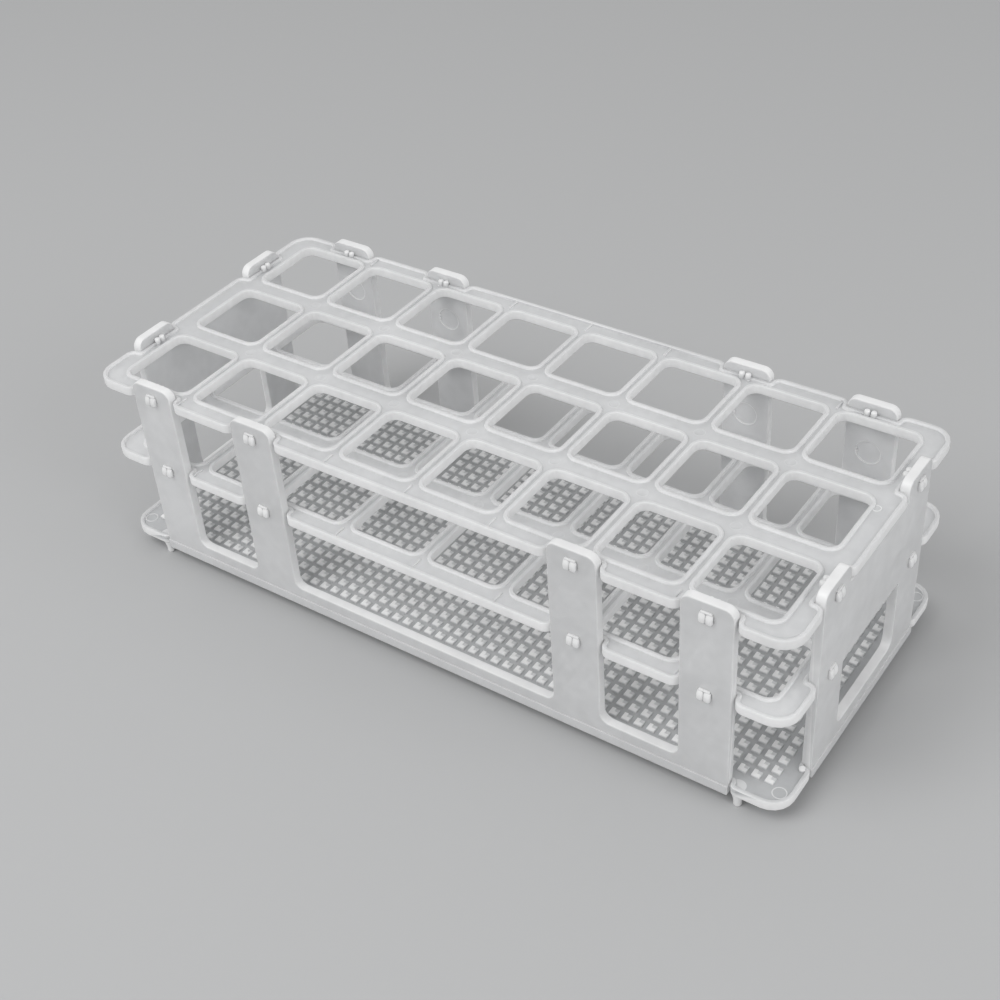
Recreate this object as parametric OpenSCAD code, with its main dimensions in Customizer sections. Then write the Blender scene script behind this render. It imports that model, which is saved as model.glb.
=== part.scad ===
// Three-tier test tube rack, snapped together from seven mouldings.
// Millimetres. X runs along the length, Y across the width, Z up; the feet stand on Z 0.
// Three tier plates carry split tongues that pass through slots in four wall panels.

/* [Wells] */
// Number of wells along the length
columns = 8; // [6:1:12]
// Number of wells across the width
rows = 3; // [3:1:5]
// Side of one square well opening
well_w = 25.5; // [24:0.1:30]
// Corner radius of a well opening
well_r = 3.2; // [2:0.1:5]
// Band between two neighbouring wells along the length
column_gap = 3.75; // [3.4:0.05:6]
// Band between two neighbouring wells across the width
row_gap = 7.4; // [5:0.1:10]
// Rim from the last well to the end of the plate
end_margin = 7.85; // [7.4:0.05:11]
// Rim from the last well to the long side of the plate
side_margin = 6.55; // [6.4:0.05:10]

/* [Tiers] */
// Full depth of the lips and collars of a tier
tier_t = 3.3; // [3:0.1:4]
// Recess of the channels below the collar tops
channel_d = 0.8; // [0.5:0.05:1]
// Thickness of the web between the upper and the lower channels
web_t = 1.4; // [1.1:0.05:1.7]
// Width of the raised collar round each well
collar_w = 1.15; // [0.9:0.05:1.4]
// Width of the raised lip along the outline
lip_w = 1.2; // [0.9:0.05:1.5]
// Height of the base tier above the ends of the feet
foot_h = 5.1; // [3:0.1:8]
// Rise from the base tier to the middle tier
lower_rise = 32.4; // [28:0.2:45]
// Rise from the middle tier to the top tier
upper_rise = 27.8; // [22:0.2:40]
// Plan radius of the four outer corners
corner_r = 7; // [5:0.5:9]
// Plan radius where a lobe turns into a notch
lobe_r = 3; // [2.2:0.1:3.2]

/* [Stud field] */
// Side of one square stud on the base
stud_w = 2.6; // [2:0.1:3]
// Spacing of the studs
stud_pitch = 4.18; // [4:0.02:5]
// Height of a stud above the base web
stud_h = 0.7; // [0.4:0.05:0.8]
// Smooth margin of the floor between its edge and the nearest studs
field_margin = 4; // [3.5:0.1:8]

/* [Panels] */
// Thickness of the wall panels
panel_t = 3.4; // [3.2:0.1:4]
// Width of one post
post_w = 15.8; // [12:0.2:17]
// From the end of the rack to the middle of the outer posts
outer_post_inset = 25; // [23.5:0.5:27]
// From the end of the rack to the middle of the inner posts
inner_post_inset = 66; // [60:0.5:72]
// From the long side of the rack to the middle of the end posts
end_post_inset = 25.7; // [24:0.1:27]
// Rise of the post heads above the top tier
head_rise = 3.2; // [2:0.1:5]
// Radius of the upper corners of a post head
head_r = 3; // [1:0.1:4]
// Drop of the panels below the base tier
panel_drop = 0.9; // [0.6:0.1:2]
// Height of the bottom rail of a panel
rail_h = 7; // [6:0.1:9]
// Height of the proud band along the foot of a panel
band_h = 3.3; // [2:0.1:4]
// Stand of that band off the panel face
band_d = 0.4; // [0.2:0.05:0.6]
// Corner radius at the bottom of a window
window_r = 3; // [1:0.1:5]
// Corner radius at the top of an end window
window_top_r = 1; // [0.5:0.1:3]
// Drop of the end windows below the middle tier
window_drop = 1.2; // [0.5:0.1:4]
// Diameter of the round ejector recess inside each post
ejector_d = 7.8; // [5:0.1:9]
// Depth of the ejector recess
ejector_depth = 0.25; // [0.1:0.05:0.4]
// From the top of the top tier down to the middle of the recess
ejector_drop = 14.5; // [12:0.5:17]

/* [Snaps] */
// Width of one prong of a split tongue
prong_w = 2; // [1.6:0.1:2.6]
// Split between the two prongs
split_w = 0.6; // [0.4:0.1:1]
// Height of a prong where it passes through its slot
shank_h = 2.1; // [1.8:0.1:2.3]
// Stand of the snap heads off the panel face
head_out = 1.2; // [0.8:0.1:1.8]
// Height of the round root bosses above the tier
boss_rise = 1.4; // [0.6:0.1:1.8]
// Clearance round a tongue in its slot
slot_gap = 0.3; // [0.2:0.05:0.35]
// Clearance between a panel and the notch it stands in
notch_gap = 0.2; // [0.15:0.05:0.3]
// Depth of the groove that holds the edge of the base tier
groove_d = 1; // [0.7:0.1:1.3]

/* [Feet] */
// Diameter of a foot at its root
foot_root_d = 3.6; // [3:0.1:4]
// Diameter of a foot at its rounded end
foot_tip_d = 2.4; // [1.6:0.1:3]

/* [Hidden] */
// Joining overlap inside one moulding
weld = 0.4;
// Facets of a full circle, for plan corners and for small round parts
corner_facets = 16;
round_facets = 24;
$fn = corner_facets;

rack_l = columns * well_w + (columns - 1) * column_gap + 2 * end_margin;
rack_w = rows * well_w + (rows - 1) * row_gap + 2 * side_margin;
column_pitch = well_w + column_gap;
row_pitch = well_w + row_gap;
half_l = rack_l / 2;
half_w = rack_w / 2;

base_z = foot_h;
middle_z = base_z + lower_rise;
top_z = middle_z + upper_rise;
plate_top_z = top_z + tier_t;
panel_z = base_z - panel_drop;
window_z = panel_z + rail_h;
end_window_top = middle_z - window_drop;
post_top_z = plate_top_z + head_rise;
ejector_z = plate_top_z - ejector_drop;
// Recess under the web of a tier
under_d = tier_t - channel_d - web_t;

// Inner faces of the panels, and the feet of the notches that clear them
panel_in_x = half_l - panel_t;
panel_in_y = half_w - panel_t;
notch_x = panel_in_x - notch_gap;
notch_y = panel_in_y - notch_gap;

outer_post = half_l - outer_post_inset;
inner_post = half_l - inner_post_inset;
end_post = half_w - end_post_inset;
panel_half_l = outer_post + post_w / 2;
panel_half_w = end_post + post_w / 2;
side_posts = [-outer_post, -inner_post, inner_post, outer_post];
end_posts = [-end_post, end_post];

tongue_w = 2 * prong_w + split_w;
shank_z = (tier_t - shank_h) / 2;
slot_w = tongue_w + 2 * slot_gap;
slot_h = shank_h + 2 * slot_gap;

// Kinds of tier
TOP = 0;
MIDDLE = 1;
BASE = 2;

// How far the edge of a tier reaches past the inner face of a panel
function edge_reach(kind) = kind == BASE ? groove_d - notch_gap : -notch_gap;

// Rectangle from corner a to corner b with all four corners rounded
module rounded_rect(a, b, r) {
    translate([a[0] + r, a[1]])
        square([b[0] - a[0] - 2 * r, b[1] - a[1]]);
    translate([a[0], a[1] + r])
        square([b[0] - a[0], b[1] - a[1] - 2 * r]);
    for (x = [a[0] + r, b[0] - r])
        for (y = [a[1] + r, b[1] - r])
            translate([x, y])
                circle(r);
}

// Concave corner whose square corner lies at the origin and opens toward +X +Y
module inside_corner(r) {
    difference() {
        translate([-weld, -weld])
            square(r + weld);
        translate([r, r])
            circle(r);
    }
}

// A shape and its mirror image across the width
module both_sides() {
    children();
    mirror([0, 1, 0])
        children();
}

// A shape and its mirror image along the length
module both_ends() {
    children();
    mirror([1, 0, 0])
        children();
}

// A child at the middle of every well
module at_wells() {
    for (i = [0 : columns - 1])
        for (j = [0 : rows - 1])
            translate([(i - (columns - 1) / 2) * column_pitch, (j - (rows - 1) / 2) * row_pitch])
                children();
}

// Well openings in plan, grown outward by e
module wells(e) {
    half = well_w / 2 + e;
    at_wells()
        rounded_rect([-half, -half], [half, half], well_r + e);
}

// One corner lobe in plan, drawn in from its outline by e
module corner_lobe(kind, e) {
    notch_in_x = panel_half_l + notch_gap + e;
    notch_in_y = panel_half_w + notch_gap + e;
    core_x = panel_in_x + edge_reach(kind) - e;
    core_y = panel_in_y + edge_reach(kind) - e;
    x1 = half_l - e;
    y1 = half_w - e;
    r = lobe_r - e;
    big = corner_r - e;
    root_x = notch_in_x - post_w / 2;
    root_y = notch_in_y - post_w / 2;
    polygon([[root_x, root_y], [core_x, root_y], [core_x, notch_in_y], [x1 - r, notch_in_y],
             [x1, notch_in_y + r], [x1, y1 - big], [x1 - big, y1], [notch_in_x + r, y1],
             [notch_in_x, y1 - r], [notch_in_x, core_y], [root_x, core_y]]);
    translate([notch_in_x + r, y1 - r])
        circle(r);
    translate([x1 - r, notch_in_y + r])
        circle(r);
    translate([x1 - big, y1 - big])
        circle(big);
}

// Plan of a tier drawn in from its outline by e: the core, the corner lobes and those between posts
module tier_plan(kind, e) {
    core_x = panel_in_x + edge_reach(kind) - e;
    core_y = panel_in_y + edge_reach(kind) - e;
    r = lobe_r - e;
    beside_post = post_w / 2 + notch_gap + e;
    root_x = panel_in_x - 2 * lobe_r;
    root_y = panel_in_y - 2 * lobe_r;
    translate([-core_x, -core_y])
        square([2 * core_x, 2 * core_y]);
    both_ends()
        both_sides()
            corner_lobe(kind, e);
    if (kind != BASE)
        both_sides()
            for (i = [0 : len(side_posts) - 2])
                rounded_rect([side_posts[i] + beside_post, root_y],
                             [side_posts[i + 1] - beside_post, half_w - e], r);
    if (kind == TOP)
        both_ends()
            rounded_rect([root_x, end_posts[0] + beside_post],
                         [half_l - e, end_posts[1] - beside_post], r);
}

// Channels between the collars and the lip in plan
module channels(kind) {
    difference() {
        tier_plan(kind, lip_w);
        if (kind != BASE)
            wells(collar_w);
    }
}

// Plate with its lip and channels on both faces, standing on Z 0
module channelled_plate(kind) {
    difference() {
        linear_extrude(tier_t)
            tier_plan(kind, 0);
        translate([0, 0, tier_t - channel_d])
            linear_extrude(channel_d + weld)
                channels(kind);
        translate([0, 0, -weld])
            linear_extrude(under_d + weld)
                channels(kind);
    }
}

// One split tongue, rooted in a plate edge at the origin and pointing to +Y.
// Each prong narrows to a shank through the panel and swells to a barbed, blunt head.
module tongue() {
    face = notch_gap + panel_t - band_d;
    seat = face + slot_gap / 2;
    barb = seat + (head_out - slot_gap / 2) / 2;
    tip = face + head_out;
    blunt = tier_t / 4;
    boss_r = prong_w / 2;
    for (side = [-1, 1])
        translate([side * (split_w + prong_w) / 2, 0, 0]) {
            translate([-prong_w / 2, 0, 0])
                rotate([90, 0, 90])
                    linear_extrude(prong_w)
                        polygon([[-weld, shank_z], [seat, shank_z], [seat, 0], [barb, 0],
                                 [tip, blunt], [tip, tier_t - blunt], [barb, tier_t],
                                 [seat, tier_t], [seat, tier_t - shank_z], [-weld, tier_t - shank_z]]);
            // Round root boss that stops the plate against the panel
            translate([0, -boss_r, under_d])
                cylinder(r = boss_r, h = tier_t - under_d + boss_rise, $fn = round_facets);
        }
}

// Tongues along both long sides and both ends of a tier
module tongues() {
    both_sides()
        for (x = side_posts)
            translate([x, notch_y, 0])
                tongue();
    both_ends()
        for (y = end_posts)
            translate([notch_x, y, 0])
                rotate([0, 0, -90])
                    tongue();
}

// Pierced tier at its height in the rack
module pierced_tier(kind, z) {
    translate([0, 0, z]) {
        difference() {
            channelled_plate(kind);
            translate([0, 0, -weld])
                linear_extrude(tier_t + 2 * weld)
                    wells(0);
        }
        tongues();
    }
}

module top_tier() {
    color([0.86, 0.88, 0.88])
        pierced_tier(TOP, top_z);
}

module middle_tier() {
    color([0.84, 0.86, 0.86])
        pierced_tier(MIDDLE, middle_z);
}

// Rows of square studs in plan, as many as the floor of the base holds inside its smooth margin
module stud_field() {
    free_x = 2 * (panel_in_x + edge_reach(BASE) - field_margin) - stud_w;
    free_y = 2 * (panel_in_y + edge_reach(BASE) - field_margin) - stud_w;
    steps_x = floor(free_x / stud_pitch);
    steps_y = floor(free_y / stud_pitch);
    for (i = [-steps_x / 2 : steps_x / 2])
        for (j = [-steps_y / 2 : steps_y / 2])
            translate([i * stud_pitch - stud_w / 2, j * stud_pitch - stud_w / 2])
                square(stud_w);
}

// Round foot that narrows to a domed end on Z 0 and is rooted in the web of the base tier
module foot() {
    root_r = foot_root_d / 2;
    tip_r = foot_tip_d / 2;
    dome = tip_r / 2;
    rotate_extrude($fn = round_facets)
        polygon([[0, 0], [tip_r * 0.6, 0], [tip_r * 0.9, dome * 0.4], [tip_r, dome],
                 [tip_r, base_z / 2], [root_r, base_z], [root_r, base_z + under_d + weld],
                 [0, base_z + under_d + weld]]);
}

module base_tier() {
    // The foot lies as far into the corner of its lobe as the corner's radius lets it
    foot_inset = lobe_r - (lobe_r - foot_root_d / 2) / sqrt(2);
    color([0.80, 0.83, 0.84]) {
        translate([0, 0, base_z]) {
            channelled_plate(BASE);
            translate([0, 0, tier_t - channel_d - weld])
                linear_extrude(stud_h + weld)
                    stud_field();
        }
        both_ends()
            both_sides()
                translate([panel_half_l + notch_gap + foot_inset, half_w - foot_inset, 0])
                    foot();
    }
}

// Elevation of one post with rounded upper corners, centred on x
module post_face(x) {
    translate([x - post_w / 2, panel_z])
        square([post_w, post_top_z - head_r - panel_z]);
    translate([x - post_w / 2 + head_r, panel_z])
        square([post_w - 2 * head_r, post_top_z - panel_z]);
    for (side = [-1, 1])
        translate([x + side * (post_w / 2 - head_r), post_top_z - head_r])
            circle(head_r);
}

// Elevation of a row of posts on one rail, with rounded corners between them
module posts_on_rail(posts, half) {
    for (x = posts)
        post_face(x);
    translate([-half, panel_z])
        square([2 * half, rail_h]);
    for (i = [0 : len(posts) - 2]) {
        translate([posts[i] + post_w / 2, window_z])
            inside_corner(window_r);
        translate([posts[i + 1] - post_w / 2, window_z])
            mirror([1, 0, 0])
                inside_corner(window_r);
    }
}

// Elevation of the solid upper wall between the two posts of an end panel
module end_wall_face() {
    window_half = end_post - post_w / 2;
    translate([-window_half - weld, end_window_top])
        square([2 * (window_half + weld), top_z - notch_gap - end_window_top]);
    both_ends()
        translate([window_half, end_window_top])
            rotate(180)
                inside_corner(window_top_r);
}

// Panel standing in the XZ plane, its outer band on Y 0 and its inner face on Y panel_t.
// The children are its elevation.
module panel(posts, half) {
    difference() {
        union() {
            translate([0, panel_t, 0])
                rotate([90, 0, 0])
                    linear_extrude(panel_t - band_d)
                        children();
            translate([-half, 0, panel_z])
                cube([2 * half, panel_t, band_h]);
        }
        // Groove for the edge of the base tier
        translate([-half - weld, panel_t - groove_d, base_z - notch_gap])
            cube([2 * (half + weld), groove_d + weld, tier_t + 2 * notch_gap]);
        for (x = posts) {
            // Slots for the tongues of the two pierced tiers
            for (z = [middle_z, top_z])
                translate([x - slot_w / 2, -weld, z + (tier_t - slot_h) / 2])
                    cube([slot_w, panel_t + 2 * weld, slot_h]);
            // Round ejector recess
            translate([x, panel_t + weld, ejector_z])
                rotate([90, 0, 0])
                    cylinder(d = ejector_d, h = ejector_depth + weld, $fn = round_facets);
        }
    }
}

// Panel of the long side at the front
module side_panel() {
    translate([0, -half_w, 0])
        panel(side_posts, panel_half_l)
            posts_on_rail(side_posts, panel_half_l);
}

// Panel of the end at the right
module end_panel() {
    rotate([0, 0, 90])
        translate([0, -half_l, 0])
            panel(end_posts, panel_half_w) {
                union() {
                    posts_on_rail(end_posts, panel_half_w);
                    end_wall_face();
                }
            }
}

module front_side_panel() {
    color([0.82, 0.85, 0.86])
        side_panel();
}

module back_side_panel() {
    color([0.82, 0.85, 0.86])
        rotate([0, 0, 180])
            side_panel();
}

module left_end_panel() {
    color([0.83, 0.86, 0.87])
        rotate([0, 0, 180])
            end_panel();
}

module right_end_panel() {
    color([0.83, 0.86, 0.87])
        end_panel();
}

top_tier();
middle_tier();
base_tier();
front_side_panel();
back_side_panel();
left_end_panel();
right_end_panel();
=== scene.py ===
"""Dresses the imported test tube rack: moulded natural polypropylene on a plain pale floor."""
import logging
from dataclasses import dataclass, field
from enum import Enum
from typing import Callable, Dict, List, Optional, Sequence, Tuple, Union

import bmesh
import bpy
import numpy as np
from mathutils import Matrix, Vector
from mathutils.geometry import tessellate_polygon


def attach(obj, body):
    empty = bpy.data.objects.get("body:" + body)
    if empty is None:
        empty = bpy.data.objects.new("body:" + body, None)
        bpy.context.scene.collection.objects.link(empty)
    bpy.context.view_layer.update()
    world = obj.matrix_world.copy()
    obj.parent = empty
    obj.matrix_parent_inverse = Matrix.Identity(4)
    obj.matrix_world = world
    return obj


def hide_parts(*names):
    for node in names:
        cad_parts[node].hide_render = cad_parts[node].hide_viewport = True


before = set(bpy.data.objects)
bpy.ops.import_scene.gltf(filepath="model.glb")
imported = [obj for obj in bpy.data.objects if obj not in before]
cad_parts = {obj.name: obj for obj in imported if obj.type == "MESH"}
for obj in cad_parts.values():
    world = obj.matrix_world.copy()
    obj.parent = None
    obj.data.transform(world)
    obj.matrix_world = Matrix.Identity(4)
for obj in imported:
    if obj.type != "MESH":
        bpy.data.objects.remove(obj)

log = logging.getLogger("rack")

Colour = Tuple[float, float, float]
Inputs = Dict[Union[int, str], object]

MM = 0.001             # one millimetre, in metres
QUARTER = np.pi / 2    # a quarter turn
SHARP = 38.0           # two faces that meet at more degrees than this keep a sharp edge
FLAT = 0.99995         # a face whose normal has at least this share along one axis counts as flat
STRONG = 16384         # strength of the faces that rule the weighted normals
LEVEL_FACE_SHADE = 0.35           # painted shade on the level parts of a rim: the share of the bright tint that they show, from 0 to 1
WELD = 0.0005          # points nearer to each other than this are one, in millimetres
TINY = 1e-9            # keeps a division by a length away from zero
LEAST_R = 1e-4         # least radius of an arc, in millimetres
BITE = 0.1             # how deep a detail reaches into the plastic that it stands on, in millimetres
ARC_STEPS = 6          # points on each arc of a large outline
CORNERS = [(-1, -1), (-1, 1), (1, -1), (1, 1)]    # signs of x and y at the rack's corners


# Shapes

def arcs(corners: np.ndarray, inset: np.ndarray, steps: int, closed: bool = True) -> np.ndarray:
    """Rounds the corners of a square-cornered outline and draws it in by one or more insets.

    A corner P has the incoming direction d, the left normals n and m of its two sides, and turns
    left (s = 1) or right (s = -1). Drawn in by e it moves to P + e (n + m), and its arc has the
    radius r - s e. The arc runs as centre + radius (d sin t - s n cos t) for t from 0 to 90 degrees.

    Args:
        corners: One row of x, y and radius for each corner, with the material on the left.
        inset: The insets, in millimetres.
        steps: Points on each arc.
        closed: Whether the last corner joins the first. An open line leaves its two ends out.

    Returns:
        One closed or open loop of points for each inset.
    """
    p, r = corners[:, :2], corners[:, 2]
    run = p - np.roll(p, 1, axis=0)
    d = run / np.maximum(np.linalg.norm(run, axis=1, keepdims=True), TINY)
    d_out = np.roll(d, -1, axis=0)
    n = np.stack([-d[:, 1], d[:, 0]], axis=1)
    n_out = np.stack([-d_out[:, 1], d_out[:, 0]], axis=1)
    if not closed:
        p, r, d, n, d_out, n_out = (a[1:-1] for a in (p, r, d, n, d_out, n_out))
    s = np.sign(d[:, 0] * d_out[:, 1] - d[:, 1] * d_out[:, 0])[:, None]
    e = np.atleast_1d(inset)[:, None, None]
    radius = np.maximum(r[:, None] - s * e, LEAST_R)
    centre = p + e * (n + n_out) - radius * d + s * radius * n
    t = np.linspace(0.0, QUARTER, steps)[:, None]
    sweep = d[:, None] * np.sin(t) - (s * n)[:, None] * np.cos(t)
    points = centre[:, :, None] + radius[:, :, None] * sweep
    return points.reshape(len(e), -1, 2)


def profile(points: Sequence[Tuple[float, float, float]], steps: int = 4) -> np.ndarray:
    """Rounded open line of inset and height, whose two ends only give its directions.

    Args:
        points: Rows of inset, height and radius.
        steps: Points on each arc.

    Returns:
        Rows of inset and height.
    """
    return arcs(np.array(points, float), np.zeros(1), steps, closed=False)[0]


def rectangle(x0: float, y0: float, x1: float, y1: float, r: float) -> np.ndarray:
    """The four corners of a rectangle, anticlockwise, with one radius."""
    return np.array([(x0, y0, r), (x1, y0, r), (x1, y1, r), (x0, y1, r)], float)


class Shell:
    """Collects the surfaces of one moulding, in millimetres, and welds them into one mesh."""

    def __init__(self) -> None:
        """Starts with nothing."""
        self.points: List[np.ndarray] = []
        self.solid: List[np.ndarray] = []
        self.quads: List[np.ndarray] = []
        self.tris: List[np.ndarray] = []
        self.count = 0

    def _keep(self, points: np.ndarray, solid: np.ndarray) -> int:
        """Adds points with their thickness of plastic with painted glow on edges, from 0 to 1, and gives the
        number of the first.
        """
        first = self.count
        self.solid.append(np.broadcast_to(solid, points.shape[:-1]).ravel())
        self.points.append(points.reshape(-1, 3))
        self.count += len(self.points[-1])
        return first

    def grid(self, points: np.ndarray, closed: bool = True, solid: np.ndarray = np.ones(1)) -> None:
        """Adds a grid of quads.

        Args:
            points: The grid's points, rows by columns.
            closed: Whether each row closes on itself.
            solid: Thickness of plastic at the points, from 0, a thin web, to 1, a full lip, with painted glow
                along edges and upright faces.
        """
        rows, cols = points.shape[:2]
        first = self._keep(points, solid)
        number = first + np.arange(rows * cols).reshape(rows, cols)
        if closed:
            number = np.column_stack([number, number[:, :1]])
        a, b = number[:-1, :-1].ravel(), number[:-1, 1:].ravel()
        c, d = number[1:, 1:].ravel(), number[1:, :-1].ravel()
        self.quads.append(np.stack([a, b, c, d], axis=1))

    def fill(self, loops: Sequence[np.ndarray], solid: float = 0.0) -> None:
        """Fills the flat face between an outer loop and its holes with triangles.

        Args:
            loops: The outer loop and then the holes, as rows of x, y and z.
            solid: Thickness of plastic at the points, with painted glow where it is high.
        """
        first = self._keep(np.concatenate(loops), np.array([solid]))
        tris = tessellate_polygon([[Vector(p) for p in loop] for loop in loops])
        self.tris.append(first + np.array(tris, int))

    def rim(self, corners: np.ndarray, line: np.ndarray, side: float = 1.0,
            steps: int = ARC_STEPS) -> Tuple[np.ndarray, np.ndarray]:
        """Carries a profile round an outline: ring k is the outline drawn in by inset k, at height k.

        Upright faces get painted glow and level ones painted shade: solid = LEVEL_FACE_SHADE + (1 -
        LEVEL_FACE_SHADE) * steepness ** 4, and 0 at the profile's two ends, where the thin webs begin.

        Args:
            corners: The outline's corners, as rows of x, y and radius.
            line: The profile, as rows of inset and height.
            side: 1 where the plastic lies inside the outline, -1 where the outline is a hole.
            steps: Points on each of the outline's arcs.

        Returns:
            The first and the last ring, where flat faces join on.
        """
        rings = arcs(corners, side * line[:, 0], steps)
        height = np.broadcast_to(line[:, 1][:, None, None], (*rings.shape[:2], 1))
        run = np.gradient(line, axis=0)
        steep = np.abs(run[:, 1]) / np.maximum(np.linalg.norm(run, axis=1), TINY)
        # painted glow on upright faces, painted shade on level ones
        solid = (LEVEL_FACE_SHADE + (1 - LEVEL_FACE_SHADE) * steep ** 4)[:, None]
        solid[[0, -1]] = 0.0
        grid = np.concatenate([rings, height], axis=2)
        self.grid(grid, solid=solid)
        return grid[0], grid[-1]

    def block(self, corners: np.ndarray, line: np.ndarray, steps: int) -> "Shell":
        """Carries a profile round an outline and closes both ends with a flat face.

        Args:
            corners: The outline's corners.
            line: The profile, as rows of inset and height.
            steps: Points on each of the outline's arcs.

        Returns:
            The shell itself.
        """
        for loop in self.rim(corners, line, steps=steps):
            self.fill([loop])
        return self

    def turned(self, line: Sequence[Tuple[float, float]], x: float, y: float, steps: int = 20,
               solid: Sequence[float] = (1.0,)) -> np.ndarray:
        """Turns a profile about the upright line at x and y: (x + r cos a, y + r sin a, z).

        Args:
            line: The profile, as rows of radius r and height z.
            x: The line's place along.
            y: The line's place across.
            steps: Points on each ring.
            solid: Thickness of plastic of each ring, with painted glow where it is high, or one for all.

        Returns:
            The first ring.
        """
        r, z = np.array(line, float).T
        a = np.linspace(0.0, 2 * np.pi, steps, endpoint=False)
        grid = np.stack([x + np.outer(r, np.cos(a)), y + np.outer(r, np.sin(a)),
                         np.broadcast_to(z[:, None], (len(r), steps))], axis=2)
        self.grid(grid, solid=np.array(solid)[:, None])
        return grid[0]

    def place(self, turn: np.ndarray, move: Sequence[float]) -> "Shell":
        """Turns and moves the surfaces: p becomes turn p + move."""
        self.points = [points @ turn.T + np.array(move, float) for points in self.points]
        return self

    def thin_below(self, height: float) -> "Shell":
        """Makes points below a height count as thin, so that the flat face round a detail stays even."""
        self.solid = [np.where(points[:, 2] < height, 0.0, solid)
                      for points, solid in zip(self.points, self.solid)]
        return self

    def mesh(self, name: str) -> bpy.types.Mesh:
        """Welds the surfaces into one mesh in metres, with its faces outwards.

        Args:
            name: The mesh's name.

        Returns:
            The mesh, smooth shaded.
        """
        points = np.concatenate(self.points) * MM
        quads = np.concatenate(self.quads) if self.quads else np.zeros((0, 4), int)
        tris = np.concatenate(self.tris) if self.tris else np.zeros((0, 3), int)
        starts = np.concatenate([np.arange(len(quads)) * 4, len(quads) * 4 + np.arange(len(tris)) * 3])
        corners = np.concatenate([quads.ravel(), tris.ravel()])
        mesh = bpy.data.meshes.new(name)
        mesh.vertices.add(len(points))
        mesh.vertices.foreach_set("co", points.astype(np.float32).ravel())
        mesh.loops.add(len(corners))
        mesh.loops.foreach_set("vertex_index", corners.astype(np.int32))
        mesh.polygons.add(len(starts))
        mesh.polygons.foreach_set("loop_start", starts.astype(np.int32))
        mesh.update(calc_edges=True)
        # tint share: thickness of plastic with painted glow along edges and upright faces
        layer = mesh.attributes.new("solid", "FLOAT", "POINT")
        layer.data.foreach_set("value", np.concatenate(self.solid).astype(np.float32))
        mesh.validate()
        work = bmesh.new()
        work.from_mesh(mesh)
        bmesh.ops.remove_doubles(work, verts=work.verts, dist=WELD * MM)
        bmesh.ops.dissolve_degenerate(work, edges=work.edges, dist=WELD * MM)
        bmesh.ops.recalc_face_normals(work, faces=work.faces)
        work.to_mesh(mesh)
        work.free()
        return mesh


class Kind(Enum):
    """The three kinds of tier."""

    TOP = "top_tier"
    MIDDLE = "middle_tier"
    BASE = "base_tier"


@dataclass(frozen=True)
class Rack:
    """Sizes of the rack that its mouldings share, in millimetres."""

    columns: int = 8
    rows: int = 3
    well: float = 25.5
    well_r: float = 3.2
    column_gap: float = 3.75
    row_gap: float = 7.4
    end_margin: float = 7.85
    side_margin: float = 6.55
    tier: float = 3.3
    panel: float = 3.4
    post: float = 15.8
    foot: float = 5.1
    lower_rise: float = 32.4
    upper_rise: float = 27.8
    notch_gap: float = 0.2
    groove: float = 1.0
    band_d: float = 0.4
    outer_post_inset: float = 25.0
    inner_post_inset: float = 66.0
    end_post_inset: float = 25.7

    @property
    def pitch(self) -> Tuple[float, float]:
        """Spacing of the wells along and across."""
        return self.well + self.column_gap, self.well + self.row_gap

    @property
    def half(self) -> Tuple[float, float]:
        """Half of the length and of the width."""
        return (self.columns * self.well / 2 + (self.columns - 1) * self.column_gap / 2 + self.end_margin,
                self.rows * self.well / 2 + (self.rows - 1) * self.row_gap / 2 + self.side_margin)

    @property
    def heights(self) -> Dict[Kind, float]:
        """Height of the underside of each tier."""
        return {Kind.BASE: self.foot, Kind.MIDDLE: self.foot + self.lower_rise,
                Kind.TOP: self.foot + self.lower_rise + self.upper_rise}

    @property
    def side_posts(self) -> np.ndarray:
        """Middles of the posts of a long side."""
        a, b = self.half[0] - self.outer_post_inset, self.half[0] - self.inner_post_inset
        return np.array([-a, -b, b, a])

    @property
    def end_posts(self) -> np.ndarray:
        """Middles of the posts of an end."""
        a = self.half[1] - self.end_post_inset
        return np.array([-a, a])

    @property
    def well_middles(self) -> np.ndarray:
        """Middles of all the wells, as rows of x and y."""
        x = (np.arange(self.columns) - (self.columns - 1) / 2) * self.pitch[0]
        y = (np.arange(self.rows) - (self.rows - 1) / 2) * self.pitch[1]
        return np.stack(np.meshgrid(x, y, indexing="ij"), axis=2).reshape(-1, 2)


@dataclass(frozen=True)
class Mark:
    """Round mark of an ejector pin: radius and height of its ring, and the thickness that the ring shows,
    with painted glow on the ring.
    """

    r: float
    rise: float
    solid: float


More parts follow.
